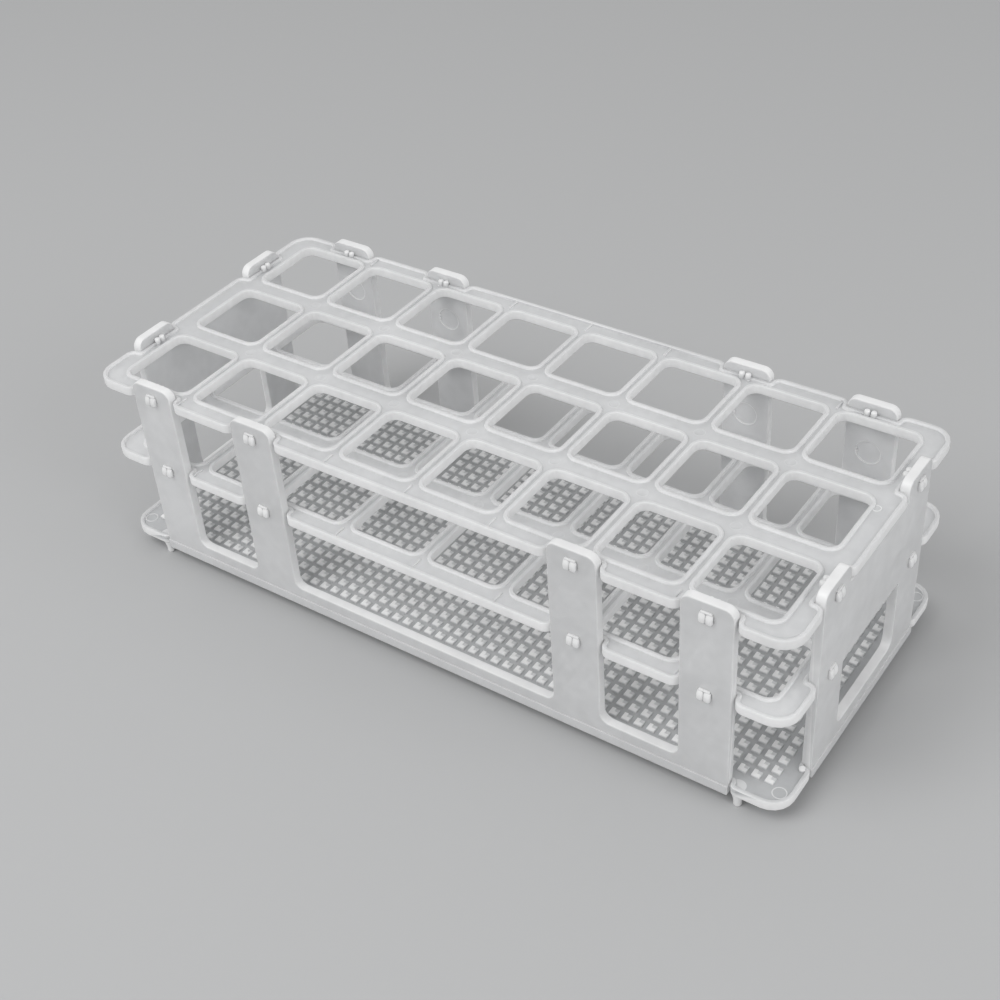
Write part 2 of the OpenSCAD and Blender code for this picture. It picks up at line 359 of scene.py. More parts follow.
@dataclass
class Tier:
    """One tier plate: a lip round its outline, collars round its wells and a web between, in millimetres."""

    rack: Rack
    kind: Kind
    lip: float = 1.2
    collar: float = 1.15
    channel: float = 0.8
    web: float = 1.4
    edge_r: float = 0.35
    root_r: float = 0.27
    notch_r: float = 0.4
    corner_r: float = 7.0
    lobe_r: float = 3.0
    prong: float = 1.8
    split: float = 0.3
    tongue_root: float = 0.4
    bar_half: float = 1.75
    bar_in: float = 0.5
    bridge_out: float = 0.45
    bridge_half: float = 0.9
    bridge_rise: float = 0.3
    shank: float = 2.1
    shank_r: float = 0.25
    head_out: float = 1.2
    boss_rise: float = 1.4
    slot_gap: float = 0.3
    stud: float = 2.6
    stud_pitch: float = 4.18
    stud_h: float = 0.8
    stud_foot: float = 0.1
    stud_edge: float = 0.08
    pocket_step: Tuple[float, float] = (-0.1, 0.05)
    pocket_far: float = 0.3
    pocket_sink: float = 0.4
    # painted shade in each stud's pocket, taken off its tint share
    pocket_shade: float = 0.5
    stud_columns: int = 56
    stud_rows: int = 22
    foot_root_r: float = 1.8
    foot_tip_r: float = 1.2
    root_disc_r: float = 2.4
    rib_w: float = 0.7
    rib_r: float = 0.25
    rib_drop: float = 0.25
    rib_lap: float = 0.2
    crossing_mark: Mark = Mark(1.8, 0.07, 0.12)
    end_mark: Mark = Mark(1.35, 0.12, 0.8)
    end_mark_at: Tuple[float, float] = (117.0, 9.3)
    lobe_mark: Mark = Mark(2.1, 0.12, 0.6)
    lobe_mark_at: Tuple[float, float] = (119.0, 46.6)
    lug_at: Tuple[float, float] = (120.6, 35.9)
    lug_r: float = 1.0
    lug_h: float = 1.05
    shell: Shell = field(default_factory=Shell)
    details: List[Shell] = field(default_factory=list)

    @property
    def under(self) -> float:
        """Height of the web's under face above the tier's own under face."""
        return self.rack.tier - self.channel - self.web

    @property
    def over(self) -> float:
        """Height of the web's upper face above the tier's own under face."""
        return self.rack.tier - self.channel

    @property
    def core(self) -> np.ndarray:
        """Half sizes of the plate between its lobes."""
        reach = self.rack.groove - self.rack.notch_gap if self.kind is Kind.BASE else -self.rack.notch_gap
        return np.array(self.rack.half) - self.rack.panel + reach

    def side(self, lobes: Sequence[Tuple[float, float]], end: float, outer: float,
             core: float) -> np.ndarray:
        """Corners along one side, as rows of travel, distance and radius.

        Args:
            lobes: The start and end of each lobe between posts.
            end: Where the corner lobes begin.
            outer: Distance of the lobes' ends from the middle.
            core: Distance of the notches' feet from the middle.

        Returns:
            The rows, from the first corner lobe to the last.
        """
        r = min(self.lobe_r, outer - core - self.notch_r)
        stops = [(-end, outer, r), (-end, core, self.notch_r)]
        for a, b in lobes:
            stops += [(a, core, self.notch_r), (a, outer, r), (b, outer, r), (b, core, self.notch_r)]
        return np.array(stops + [(end, core, self.notch_r), (end, outer, r)], float)

    def outline(self) -> np.ndarray:
        """Puts the four sides together, with a large rounding between each two.

        Returns:
            Corners of the outline, anticlockwise: the right side, the back, the left and the front.
        """
        rack = self.rack
        hx, hy = rack.half
        beside = rack.post / 2 + rack.notch_gap
        side_posts, end_posts = rack.side_posts, rack.end_posts
        long_lobes, end_lobes = [], []
        if self.kind is not Kind.BASE:
            long_lobes = [(a + beside, b - beside) for a, b in zip(side_posts[:-1], side_posts[1:])]
        if self.kind is Kind.TOP:
            end_lobes = [(end_posts[0] + beside, end_posts[1] - beside)]
        cx, cy = self.core
        t, s, r = self.side(end_lobes, end_posts[-1] + beside, hx, cx).T
        u, v, q = self.side(long_lobes, side_posts[-1] + beside, hy, cy).T
        big = self.corner_r
        return np.concatenate([
            np.column_stack([s, t, r]), [(hx, hy, big)], np.column_stack([-u, v, q]), [(-hx, hy, big)],
            np.column_stack([-s, -t, r]), [(-hx, -hy, big)], np.column_stack([u, -v, q]), [(hx, -hy, big)]])

    def wall_profile(self, width: float) -> np.ndarray:
        """Section of a lip or collar: up from the web, over the top, down outside, under and back up.

        Args:
            width: Its width at the top.

        Returns:
            Rows of inset and height.
        """
        f, c, top = self.edge_r, self.root_r, self.rack.tier
        return profile([(width + 1, self.over, 0), (width, self.over, c), (width, top, f), (0, top, f),
                        (0, 0, f), (width, 0, f), (width, self.under, c), (width + 1, self.under, 0)])

    def plate(self) -> None:
        """Builds the plate: rims as carried profiles, and two flat webs between them."""
        edges = [self.shell.rim(self.outline(), self.wall_profile(self.lip))]
        if self.kind is not Kind.BASE:
            collar = self.wall_profile(self.collar)
            half = self.rack.well / 2
            for x, y in self.rack.well_middles:
                well = rectangle(x - half, y - half, x + half, y + half, self.rack.well_r)
                edges.append(self.shell.rim(well, collar, side=-1.0))
        over, under = map(list, zip(*edges))
        self.shell.fill(under)
        if self.kind is Kind.BASE:
            over.append(self.stud_field())
        self.shell.fill(over)

    def stud_line(self, count: int) -> np.ndarray:
        """Grid lines along one axis of the stud field: two for each slope of a stud, three for its pocket.

        Args:
            count: Studs along the axis.

        Returns:
            Rows of place, level from 0 to 1, and whether the line crosses the stud's pocket.
        """
        half = self.stud / 2
        foot, edge = half + self.stud_foot, half - self.stud_edge
        at = np.array([-foot, -edge, *self.pocket_step, half - self.pocket_far, edge, foot])
        level = np.array([0, 1, 1, 1, 1, 1, 0])
        pocket = np.array([0, 0, 0, 1, 1, 1, 0])
        middles = (np.arange(count) - (count - 1) / 2) * self.stud_pitch
        border = middles[-1] + self.stud_pitch / 2
        lines = np.stack([(middles[:, None] + at).ravel(), np.tile(level, count), np.tile(pocket, count)])
        return np.column_stack([(-border, 0, 0), lines, (border, 0, 0)])

    def stud_field(self) -> np.ndarray:
        """Builds the studs as one height grid, whose tops get the bright tint share, partly painted light,
        and whose pockets get painted shade.

        z = web + stud height * (lower of the two levels - sinking, where both lines cross the pocket).

        Returns:
            The field's border, anticlockwise, for the flat margin round it.
        """
        x, high_x, in_x = self.stud_line(self.stud_columns)
        y, high_y, in_y = self.stud_line(self.stud_rows)
        pocket = in_x[:, None] * in_y[None, :]
        level = np.minimum(high_x[:, None], high_y[None, :])
        z = self.over + self.stud_h * (level - self.pocket_sink * pocket)
        grid = np.stack([*np.meshgrid(x, y, indexing="ij"), z], axis=2)
        # painted light on the stud tops, painted shade in the pockets
        self.shell.grid(grid, closed=False, solid=level - self.pocket_shade * pocket)
        return np.concatenate([grid[:-1, 0], grid[-1, :-1], grid[:0:-1, -1], grid[0, :0:-1]])

    def stand(self, line: Sequence[Tuple[float, float, float]], x: float, y: float,
              steps: int = 20) -> Shell:
        """Makes a turned detail that stands on the web, with its foot sunk into it.

        Args:
            line: Rows of radius, height above the web and thickness of plastic with painted glow, from its
                foot inwards.
            x: Its middle along.
            y: Its middle across.
            steps: Points on each ring.

        Returns:
            The detail.
        """
        rows = np.array([(0, -BITE, 0), (line[0][0], -BITE, 0), *line], float)
        body = Shell()
        body.turned(rows[:, :2] + (0, self.over), x, y, steps, rows[:, 2])
        return body

    def loft(self, rows: Sequence[Tuple[float, float, float, float, float, float]]) -> Shell:
        """Lofts rounded rectangles along Y into one closed body.

        Args:
            rows: For each rectangle its place along Y, its middle and half width across, its middle and
                half height, and its corner radius.

        Returns:
            The body.
        """
        rings = []
        for at, x, wide, z, high, r in rows:
            loop = arcs(rectangle(x - wide, z - high, x + wide, z + high, r), np.zeros(1), 4)[0]
            rings.append(np.column_stack([loop[:, 0], np.full(len(loop), at), loop[:, 1]]))
        body = Shell()
        body.grid(np.array(rings))
        body.fill([rings[0]], 1.0)
        body.fill([rings[-1]], 1.0)
        return body

    def tongue(self, turn: float, x: float, y: float) -> None:
        """Makes one split tongue: two prongs with sloping heads and bosses, and a bar and a bridge over both.

        Args:
            turn: Its turn from pointing along +Y.
            x: Its root along.
            y: Its root across.
        """
        tier, wide, thin = self.rack.tier, self.prong / 2, self.shank / 2
        middle = full = tier / 2
        face = self.rack.notch_gap + self.rack.panel - self.rack.band_d
        seat, tip = face + self.slot_gap / 2, face + self.head_out
        bar = [(seat - self.bar_in, 0, self.bar_half - 0.1, tier, 0.3, 0.12),
               (seat + 0.3, 0, self.bar_half, tier, 0.36, 0.2),
               (seat + 0.42, 0, self.bar_half - 0.12, tier, 0.24, 0.14)]
        bridge = [(seat + out, 0, wide, middle + self.bridge_rise, self.bridge_half, 0.1)
                  for out in (-self.bar_in, self.bridge_out)]
        parts = [self.loft(bar), self.loft(bridge)]
        top = self.channel + self.boss_rise
        for side in (-1, 1):
            at = side * (self.split / 2 + wide)
            shank = [(out, at, wide, middle, thin, self.shank_r) for out in (-self.tongue_root, seat - 0.05)]
            head = [(seat, at, wide * 1.05, middle, full - 0.15, 0.35),
                    (seat + 0.18, at, wide * 1.1, middle, full, 0.45),
                    (seat + 0.5, at, wide * 1.1, middle - 0.12, full - 0.12, 0.6),
                    (tip - 0.25, at, wide * 1.03, middle - 0.36, full * 0.74, 0.6),
                    (tip - 0.06, at, wide * 0.86, middle - 0.5, full * 0.56, 0.5),
                    (tip, at, wide * 0.6, middle - 0.55, full * 0.36, 0.35)]
            boss = [(wide, top - 0.35, 1), (wide * 0.9, top - 0.12, 1), (wide * 0.62, top, 1), (0, top, 1)]
            parts += [self.loft(shank + head), self.stand(boss, at, -wide)]
        c, s = np.cos(turn), np.sin(turn)
        turned = np.array([[c, -s, 0], [s, c, 0], [0, 0, 1]])
        self.details += [part.place(turned, (x, y, 0)) for part in parts]

    def tongues(self) -> None:
        """Tongues on all four sides, each pointing outwards."""
        cx, cy = self.core
        for x in self.rack.side_posts:
            self.tongue(0.0, x, cy)
            self.tongue(np.pi, x, -cy)
        for y in self.rack.end_posts:
            self.tongue(-QUARTER, cx, y)
            self.tongue(QUARTER, -cx, y)

    def rib(self, x: float, y0: float, y1: float) -> None:
        """Adds one short rib across a side channel, with rounded upper edges.

        Args:
            x: Its middle along.
            y0: Where it starts.
            y1: Where it ends.
        """
        z0, z1 = self.over - BITE, self.rack.tier - self.rib_drop
        line = profile([(1, z1, 0), (0, z1, 0.2), (0, z0, 0.05), (1, z0, 0)], 3)
        loop = rectangle(x - self.rib_w / 2, y0, x + self.rib_w / 2, y1, self.rib_r)
        self.details.append(Shell().block(loop, line, 3).thin_below(self.over))

    def mark(self, mark: Mark, x: float, y: float) -> None:
        """Adds one round mark: a low ring with a flat middle just above the web.

        Args:
            mark: Its sizes.
            x: Its middle along.
            y: Its middle across.
        """
        r, rise, solid = mark.r, mark.rise, mark.solid
        line = [(r + 0.15, 0, 0), (r + 0.05, rise, solid), (r - 0.2, rise, solid),
                (r - 0.3, 0.02, 0), (0, 0.02, 0)]
        self.details.append(self.stand(line, x, y, steps=32))

    def ribs_and_marks(self) -> None:
        """Ribs across the side channels at each gap between columns, and pin marks where channels cross."""
        rack = self.rack
        gaps = (np.arange(rack.columns - 1) - (rack.columns - 2) / 2) * rack.pitch[0]
        near = rack.well_middles[-1][1] + rack.well / 2 + self.collar - self.rib_lap
        for x in gaps:
            far = self.core[1] if np.abs(rack.side_posts - x).min() < rack.post / 2 + 1 else rack.half[1]
            for side in (-1, 1):
                self.rib(x, *sorted((side * near, side * (far - self.lip + self.rib_lap))))
            for row in np.arange(rack.rows - 1) - (rack.rows - 2) / 2:
                self.mark(self.crossing_mark, x, row * rack.pitch[1])

    def lobe_details(self) -> None:
        """On the base: an ejector mark in each corner lobe, and a round lug beside each end panel."""
        r, top = self.lug_r, self.lug_h
        lug = [(r, top - 0.3, 1), (r * 0.8, top - 0.05, 1), (0, top, 1)]
        for sx, sy in CORNERS:
            self.mark(self.lobe_mark, sx * self.lobe_mark_at[0], sy * self.lobe_mark_at[1])
            self.details.append(self.stand(lug, sx * self.lug_at[0], sy * self.lug_at[1]))

    def feet(self) -> None:
        """Four round feet with domed ends, one in each corner lobe, each under a low disc on the web."""
        rack = self.rack
        inset = self.lobe_r - (self.lobe_r - self.foot_root_r) / np.sqrt(2)
        x = rack.side_posts[-1] + rack.post / 2 + rack.notch_gap + inset
        y = rack.half[1] - inset
        r, tip, floor, disc = self.foot_root_r, self.foot_tip_r, -rack.foot, self.root_disc_r
        line = [(0, floor), (tip * 0.6, floor), (tip * 0.85, floor + 0.15), (tip, floor + 0.6),
                (tip * 1.05, floor + 2.4), (r, -0.3), (r + 0.2, 0.15), (r + 0.2, self.under + 0.3),
                (0, self.under + 0.3)]
        cap = [(disc, 0.03, 0), (disc - 0.15, 0.06, 0.5), (0, 0.06, 0.5)]
        for sx, sy in CORNERS:
            foot = Shell()
            foot.turned(line, sx * x, sy * y, solid=(1, 1, 1, 1, 1, 1, 0.6, 0, 0))
            self.details += [foot, self.stand(cap, sx * x, sy * y, steps=28)]

    def build(self) -> bpy.types.Object:
        """Builds the moulding at its height in the rack.

        Returns:
            The piece.
        """
        self.plate()
        if self.kind is Kind.BASE:
            self.feet()
            self.lobe_details()
        else:
            self.tongues()
            self.ribs_and_marks()
        if self.kind is Kind.TOP:
            self.mark(self.end_mark, *self.end_mark_at)
        rise = (0, 0, self.rack.heights[self.kind])
        body = piece(self.kind.value + "_moulding", self.shell.place(np.eye(3), rise).mesh(self.kind.value))
        combine(body, [part.place(np.eye(3), rise).mesh("detail") for part in self.details], "UNION")
        return body


@dataclass
class Panel:
    """One wall panel: posts on a rail, slotted for the tongues, in millimetres.

    It is drawn lying down, with x along it, y up and z from its outer face to its inner one.
    """

    rack: Rack
    posts: np.ndarray
    walled: bool
    head_rise: float = 3.2
    head_r: float = 3.0
    drop: float = 0.9
    rail: float = 7.0
    foot_r: float = 0.6
    sill_r: float = 0.5
    band: float = 3.3
    band_r: float = 0.35
    window_r: float = 3.0
    window_top_r: float = 1.0
    window_drop: float = 1.2
    edge_r: float = 0.3
    ejector_r: float = 3.9
    ejector_d: float = 0.25
    ejector_drop: float = 14.5
    burr: float = 0.3
    slot_w: float = 4.1
    slot_h: float = 2.4
    slot_r: float = 0.3
    slot_edge_r: float = 0.12
    nub_r: float = 0.4
    nub_lift: float = 0.6
    shell: Shell = field(default_factory=Shell)

    @property
    def foot_z(self) -> float:
        """Height of the panel's bottom edge."""
        return self.rack.foot - self.drop

    @property
    def head_z(self) -> float:
        """Height of the post heads."""
        return self.rack.heights[Kind.TOP] + self.rack.tier + self.head_rise

    @property
    def ejector_z(self) -> float:
        """Height of the middles of the ejector recesses."""
        return self.rack.heights[Kind.TOP] + self.rack.tier - self.ejector_drop

    @property
    def reach(self) -> float:
        """Half of the panel's length."""
        return self.posts[-1] + self.rack.post / 2

    def outline(self) -> np.ndarray:
        """Draws the elevation: along the foot of the rail, then over each post from right to left.

        Returns:
            Its corners, anticlockwise.
        """
        half, w = self.reach, self.rack.post / 2
        sill = self.rack.heights[Kind.TOP] - self.rack.notch_gap if self.walled else self.foot_z + self.rail
        sill_r = self.sill_r if self.walled else self.window_r
        stops = [(-half, self.foot_z, self.foot_r), (half, self.foot_z, self.foot_r)]
        posts = self.posts[::-1]
        for k, x in enumerate(posts):
            if k > 0:
                stops.append((x + w, sill, sill_r))
            stops += [(x + w, self.head_z, self.head_r), (x - w, self.head_z, self.head_r)]
            if k < len(posts) - 1:
                stops.append((x - w, sill, sill_r))
        return np.array(stops, float)

    def window(self) -> np.ndarray:
        """Corners of an end panel's window."""
        a = self.posts[-1] - self.rack.post / 2
        top = self.rack.heights[Kind.MIDDLE] - self.window_drop
        corners = rectangle(-a, self.foot_z + self.rail, a, top, self.window_r)
        corners[2:, 2] = self.window_top_r
        return corners

    def wall(self, low: float, high: float, low_r: float, high_r: float, steps: int) -> np.ndarray:
        """Section of a plain wall from one depth to another, each with its own rounded edge."""
        return profile([(1, low, 0), (0, low, low_r), (0, high, high_r), (1, high, 0)], steps)

    def faces(self) -> None:
        """Builds the slab: rims round its outline, window and slots, and the two flat faces between them."""
        out, thick, big = self.rack.band_d, self.rack.panel, ARC_STEPS + 1
        wall = self.wall(out, thick, self.edge_r, self.edge_r, 4)
        edges = [self.shell.rim(self.outline(), wall, steps=big)]
        if self.walled:
            edges.append(self.shell.rim(self.window(), wall, side=-1.0, steps=big))
        through = self.wall(out, thick, self.slot_edge_r, self.slot_edge_r, 3)
        wide, high = self.slot_w / 2, self.slot_h / 2
        for x in self.posts:
            for kind in (Kind.MIDDLE, Kind.TOP):
                z = self.rack.heights[kind] + self.rack.tier / 2
                slot = rectangle(x - wide, z - high, x + wide, z + high, self.slot_r)
                edges.append(self.shell.rim(slot, through, side=-1.0, steps=3))
        outer, inner = map(list, zip(*edges))
        self.shell.fill(outer)
        if not self.walled:
            inner += [self.ejector(x) for x in self.posts]
        self.shell.fill(inner)

    def ejector(self, x: float) -> np.ndarray:
        """Builds the round recess that an ejector pin leaves: a raised burr, a drop and a flat floor.

        Args:
            x: Its middle along the panel.

        Returns:
            Its outer circle.
        """
        r, top = self.ejector_r, self.rack.panel
        floor = top - self.ejector_d
        line = [(r + self.burr, top), (r + 0.12, top + 0.09), (r, top + 0.05),
                (r - 0.08, top - self.ejector_d * 0.7), (r - 0.25, floor), (0, floor)]
        # the burr's ring gets painted glow in its tint share
        return self.shell.turned(line, x, self.ejector_z, steps=40, solid=(0.0, 0.9, 1.0, 0.5, 0.0, 0.0))

    def gate_nubs(self) -> List[bpy.types.Mesh]:
        """Makes small torn nubs, two at the edge of each ejector recess.

        Returns:
            Their meshes.
        """
        nubs, r, top = [], self.nub_r, self.rack.panel
        line = [(0, top - r), (r, top - r), (r * 0.9, top + 0.05), (r / 2, top + 0.15), (0, top + 0.15)]
        for x in self.posts:
            for lift in (-self.nub_lift, self.nub_lift):
                nub = Shell()
                nub.turned(line, x + self.ejector_r - 0.15, self.ejector_z + lift, steps=12)
                nubs.append(nub.mesh("nub"))
        return nubs

    def slab(self, name: str) -> bpy.types.Object:
        """Builds the whole panel, lying down: slab, proud band and groove.

        Args:
            name: The object's name.

        Returns:
            The object.
        """
        rack, half = self.rack, self.reach
        self.faces()
        body = piece(name, self.shell.mesh(name))
        loop = rectangle(-half, self.foot_z, half, self.foot_z + self.band, self.band_r)
        band = Shell().block(loop, self.wall(0, rack.panel, 0.2, self.edge_r, 4), 4)
        nubs = [] if self.walled else self.gate_nubs()
        combine(body, [band.thin_below(np.inf).mesh("band"), *nubs], "UNION")
        deep, past = rack.panel - rack.groove, 3
        low, high = rack.foot - rack.notch_gap, rack.foot + rack.tier + rack.notch_gap
        slot = rectangle(-half - 1, low, half + 1, high, 0.2)
        groove = Shell().block(slot, self.wall(deep, deep + past, 0.2, 0.1, 3), 3)
        combine(body, [groove.thin_below(np.inf).mesh("groove")], "DIFFERENCE")
        return body


def piece(name: str, mesh: bpy.types.Mesh) -> bpy.types.Object:
    """Makes an object of a mesh and links it to the scene."""
    obj = bpy.data.objects.new(name, mesh)
    bpy.context.scene.collection.objects.link(obj)
    return obj


def combine(body: bpy.types.Object, tools: Sequence[bpy.types.Mesh], operation: str) -> None:
    """Adds closed meshes to a body or cuts them out, for good.

    Args:
        body: The object that changes.
        tools: The meshes that are added or cut out.
        operation: UNION or DIFFERENCE.
    """
    others = bpy.data.collections.new("tools")
    bpy.context.scene.collection.children.link(others)
    for tool in tools:
        others.objects.link(bpy.data.objects.new("tool", tool))
    change = body.modifiers.new("combine", "BOOLEAN")
    change.operation = operation
    change.solver = "MANIFOLD"
    change.operand_type = "COLLECTION"
    change.collection = others
    bpy.context.view_layer.update()
    done = bpy.data.meshes.new_from_object(body.evaluated_get(bpy.context.evaluated_depsgraph_get()))
    body.modifiers.clear()
    old = body.data
    body.data = done
    for mesh in [old, *tools]:
        bpy.data.meshes.remove(mesh)
    bpy.data.collections.remove(others)


def stood(mesh: bpy.types.Mesh, quarters: int, out: float, name: str) -> bpy.types.Mesh:
    """A copy of a panel's mesh, stood upright on one side of the rack.

    In the panel's own frame y goes up and z goes in, so standing it swaps the two. That mirrors it, and the
    faces are turned over to match.

    Args:
        mesh: The mesh, in metres.
        quarters: Quarter turns from the front side to the panel's side.
        out: Distance of the panel's outer face from the middle of the rack, in millimetres.
        name: The copy's name.

    Returns:
        The copy.
    """
    c, s = [(1, 0), (0, 1), (-1, 0), (0, -1)][quarters]
    turn = np.array([[c, -s, 0], [s, c, 0], [0, 0, 1]], float)
    swap = np.array([[1, 0, 0], [0, 0, 1], [0, 1, 0]], float)
    copy = mesh.copy()
    copy.name = name
    points = np.empty(len(copy.vertices) * 3, np.float32)
    copy.vertices.foreach_get("co", points)
    points = points.reshape(-1, 3) @ (turn @ swap).T + turn @ np.array([0, -out, 0]) * MM
    copy.vertices.foreach_set("co", points.astype(np.float32).ravel())
    copy.update()
    copy.flip_normals()
    return copy


# Finishes

MIX_A, MIX_B, MIX_RESULT = 6, 7, 2    # numbers of a mix node's two colour inputs and its colour output


class NodeKit:
    """Short calls for adding and joining nodes in one node tree."""

    def __init__(self, tree: bpy.types.NodeTree) -> None:
        """Keeps the tree that nodes go into."""
        self.tree = tree

    def feed(self, node: bpy.types.Node, inputs: Inputs) -> None:
        """Gives inputs of a node their values, or links the sockets that feed them."""
        for key, value in inputs.items():
            if isinstance(value, bpy.types.NodeSocket):
                self.tree.links.new(value, node.inputs[key])
            else:
                node.inputs[key].default_value = value

    def add(self, kind: str, inputs: Optional[Inputs] = None, **settings: object) -> bpy.types.Node:
        """Adds a node.

        Args:
            kind: The node's type name.
            inputs: For each input that isn't left alone, its value or the socket that feeds it.
            **settings: Attributes of the node.

        Returns:
            The new node.
        """
        node = self.tree.nodes.new(kind)
        for name, value in settings.items():
            setattr(node, name, value)
        self.feed(node, inputs or {})
        return node

    def math(self, operation: str, *values: object, clamp: bool = False) -> bpy.types.NodeSocket:
        """Adds one step of arithmetic on values or sockets, and gives its result."""
        inputs = dict(enumerate(values))
        return self.add("ShaderNodeMath", inputs, operation=operation, use_clamp=clamp).outputs[0]

    def noise(self, vector: bpy.types.NodeSocket, scale: object, detail: float) -> bpy.types.NodeSocket:
        """Adds a noise of one scale and detail, and gives its value."""
        inputs = {"Vector": vector, "Scale": scale, "Detail": detail}
        return self.add("ShaderNodeTexNoise", inputs, noise_dimensions="3D").outputs["Fac"]


def group(name: str, inputs: Dict[str, Tuple[str, object]], outputs: Dict[str, str]) -> bpy.types.NodeTree:
    """Starts a shader node group with named inputs and outputs.

    Args:
        name: The group's name.
        inputs: Each input's socket type and its value.
        outputs: Each output's socket type.

    Returns:
        The group's tree.
    """
    tree = bpy.data.node_groups.new(name, "ShaderNodeTree")
    for label, (kind, value) in inputs.items():
        socket = tree.interface.new_socket(label, in_out="INPUT", socket_type=kind)
        if value is not None:
            socket.default_value = value
    for label, kind in outputs.items():
        tree.interface.new_socket(label, in_out="OUTPUT", socket_type=kind)
    return tree


def milky_cloud() -> bpy.types.NodeTree:
    """Builds the group for slow clouds in the melt.

    Cloud = 1/2 + contrast * (slow + fine - 1), from two noises, of which the fine one is 7 times smaller.

    Returns:
        The group's tree.
    """
    tree = group("milky_cloud", {"Vector": ("NodeSocketVector", None), "Size": ("NodeSocketFloat", 40.0),
                                 "Contrast": ("NodeSocketFloat", 1.0)}, {"Cloud": "NodeSocketFloat"})
    kit = NodeKit(tree)
    source, sink = kit.add("NodeGroupInput").outputs, kit.add("NodeGroupOutput")
    slow = kit.noise(source["Vector"], source["Size"], 0.0)
    fine = kit.noise(source["Vector"], kit.math("MULTIPLY", source["Size"], 7.0), 1.0)
    off = kit.math("SUBTRACT", kit.math("ADD", slow, fine), 1.0)
    kit.feed(sink, {"Cloud": kit.math("MULTIPLY_ADD", off, source["Contrast"], 0.5, clamp=True)})
    return tree


def moulded_skin() -> bpy.types.NodeTree:
    """Builds the group for the surface that the mould leaves.

    Height = waviness + spark-eroded grain - long fine scratches, each times its weight. The scratches are
    the peaks of a noise that is stretched along a slanting line.

    Returns:
        The group's tree.
    """
    tree = group("moulded_skin", {"Vector": ("NodeSocketVector", None), "Grain": ("NodeSocketFloat", 0.35),
                                  "Waves": ("NodeSocketFloat", 0.5), "Scratches": ("NodeSocketFloat", 0.3)},
                 {"Height": "NodeSocketFloat"})
    kit = NodeKit(tree)
    source, sink = kit.add("NodeGroupInput").outputs, kit.add("NodeGroupOutput")
    waves = kit.math("MULTIPLY", kit.noise(source["Vector"], 90.0, 0.0), source["Waves"])
    grain = kit.math("MULTIPLY", kit.noise(source["Vector"], 3200.0, 0.0), source["Grain"])
    long = kit.add("ShaderNodeMapping", {"Vector": source["Vector"], "Rotation": (0.3, 0.2, 0.6),
                                         "Scale": (60.0, 2600.0, 900.0)})
    peaks = kit.add("ShaderNodeMapRange", {"Value": kit.noise(long.outputs[0], 1.0, 0.0), "From Min": 0.66,
                                           "From Max": 0.74}, interpolation_type="SMOOTHSTEP")
    scratches = kit.math("MULTIPLY", peaks.outputs["Result"], source["Scratches"])
    kit.feed(sink, {"Height": kit.math("SUBTRACT", kit.math("ADD", waves, grain), scratches)})
    return tree


def thickness_and_glow_tint() -> bpy.types.NodeTree:
    """Builds the group for plastic of uneven thickness, with painted glow where the tint share is high.

    Colour = (thin + (thick - thin) * solid) * (1 - clouding * cloud), and alpha = 1 - clear * (1 - solid).

    Returns:
        The group's tree.
    """
    inputs = {"Thickness_and_glow": ("NodeSocketFloat", 0.0), "Cloud": ("NodeSocketFloat", 0.5),
              "Thin": ("NodeSocketColor", None), "Thick": ("NodeSocketColor", None),
              "Clouding": ("NodeSocketFloat", 0.09), "Clear": ("NodeSocketFloat", 0.3)}
    tree = group("thickness_and_glow_tint", inputs, {"Color": "NodeSocketColor", "Alpha": "NodeSocketFloat"})
    kit = NodeKit(tree)
    source, sink = kit.add("NodeGroupInput").outputs, kit.add("NodeGroupOutput")
    ends = {"Factor": source["Thickness_and_glow"], MIX_A: source["Thin"], MIX_B: source["Thick"]}
    blend = kit.add("ShaderNodeMix", ends, data_type="RGBA").outputs[MIX_RESULT]
    keep = kit.math("SUBTRACT", 1.0, kit.math("MULTIPLY", source["Cloud"], source["Clouding"]))
    darker = kit.add("ShaderNodeVectorMath", {0: blend, "Scale": keep}, operation="SCALE")
    gap = kit.math("SUBTRACT", 1.0, source["Thickness_and_glow"], clamp=True)
    alpha = kit.math("SUBTRACT", 1.0, kit.math("MULTIPLY", gap, source["Clear"]))
    kit.feed(sink, {"Color": darker.outputs[0], "Alpha": alpha})
    return tree


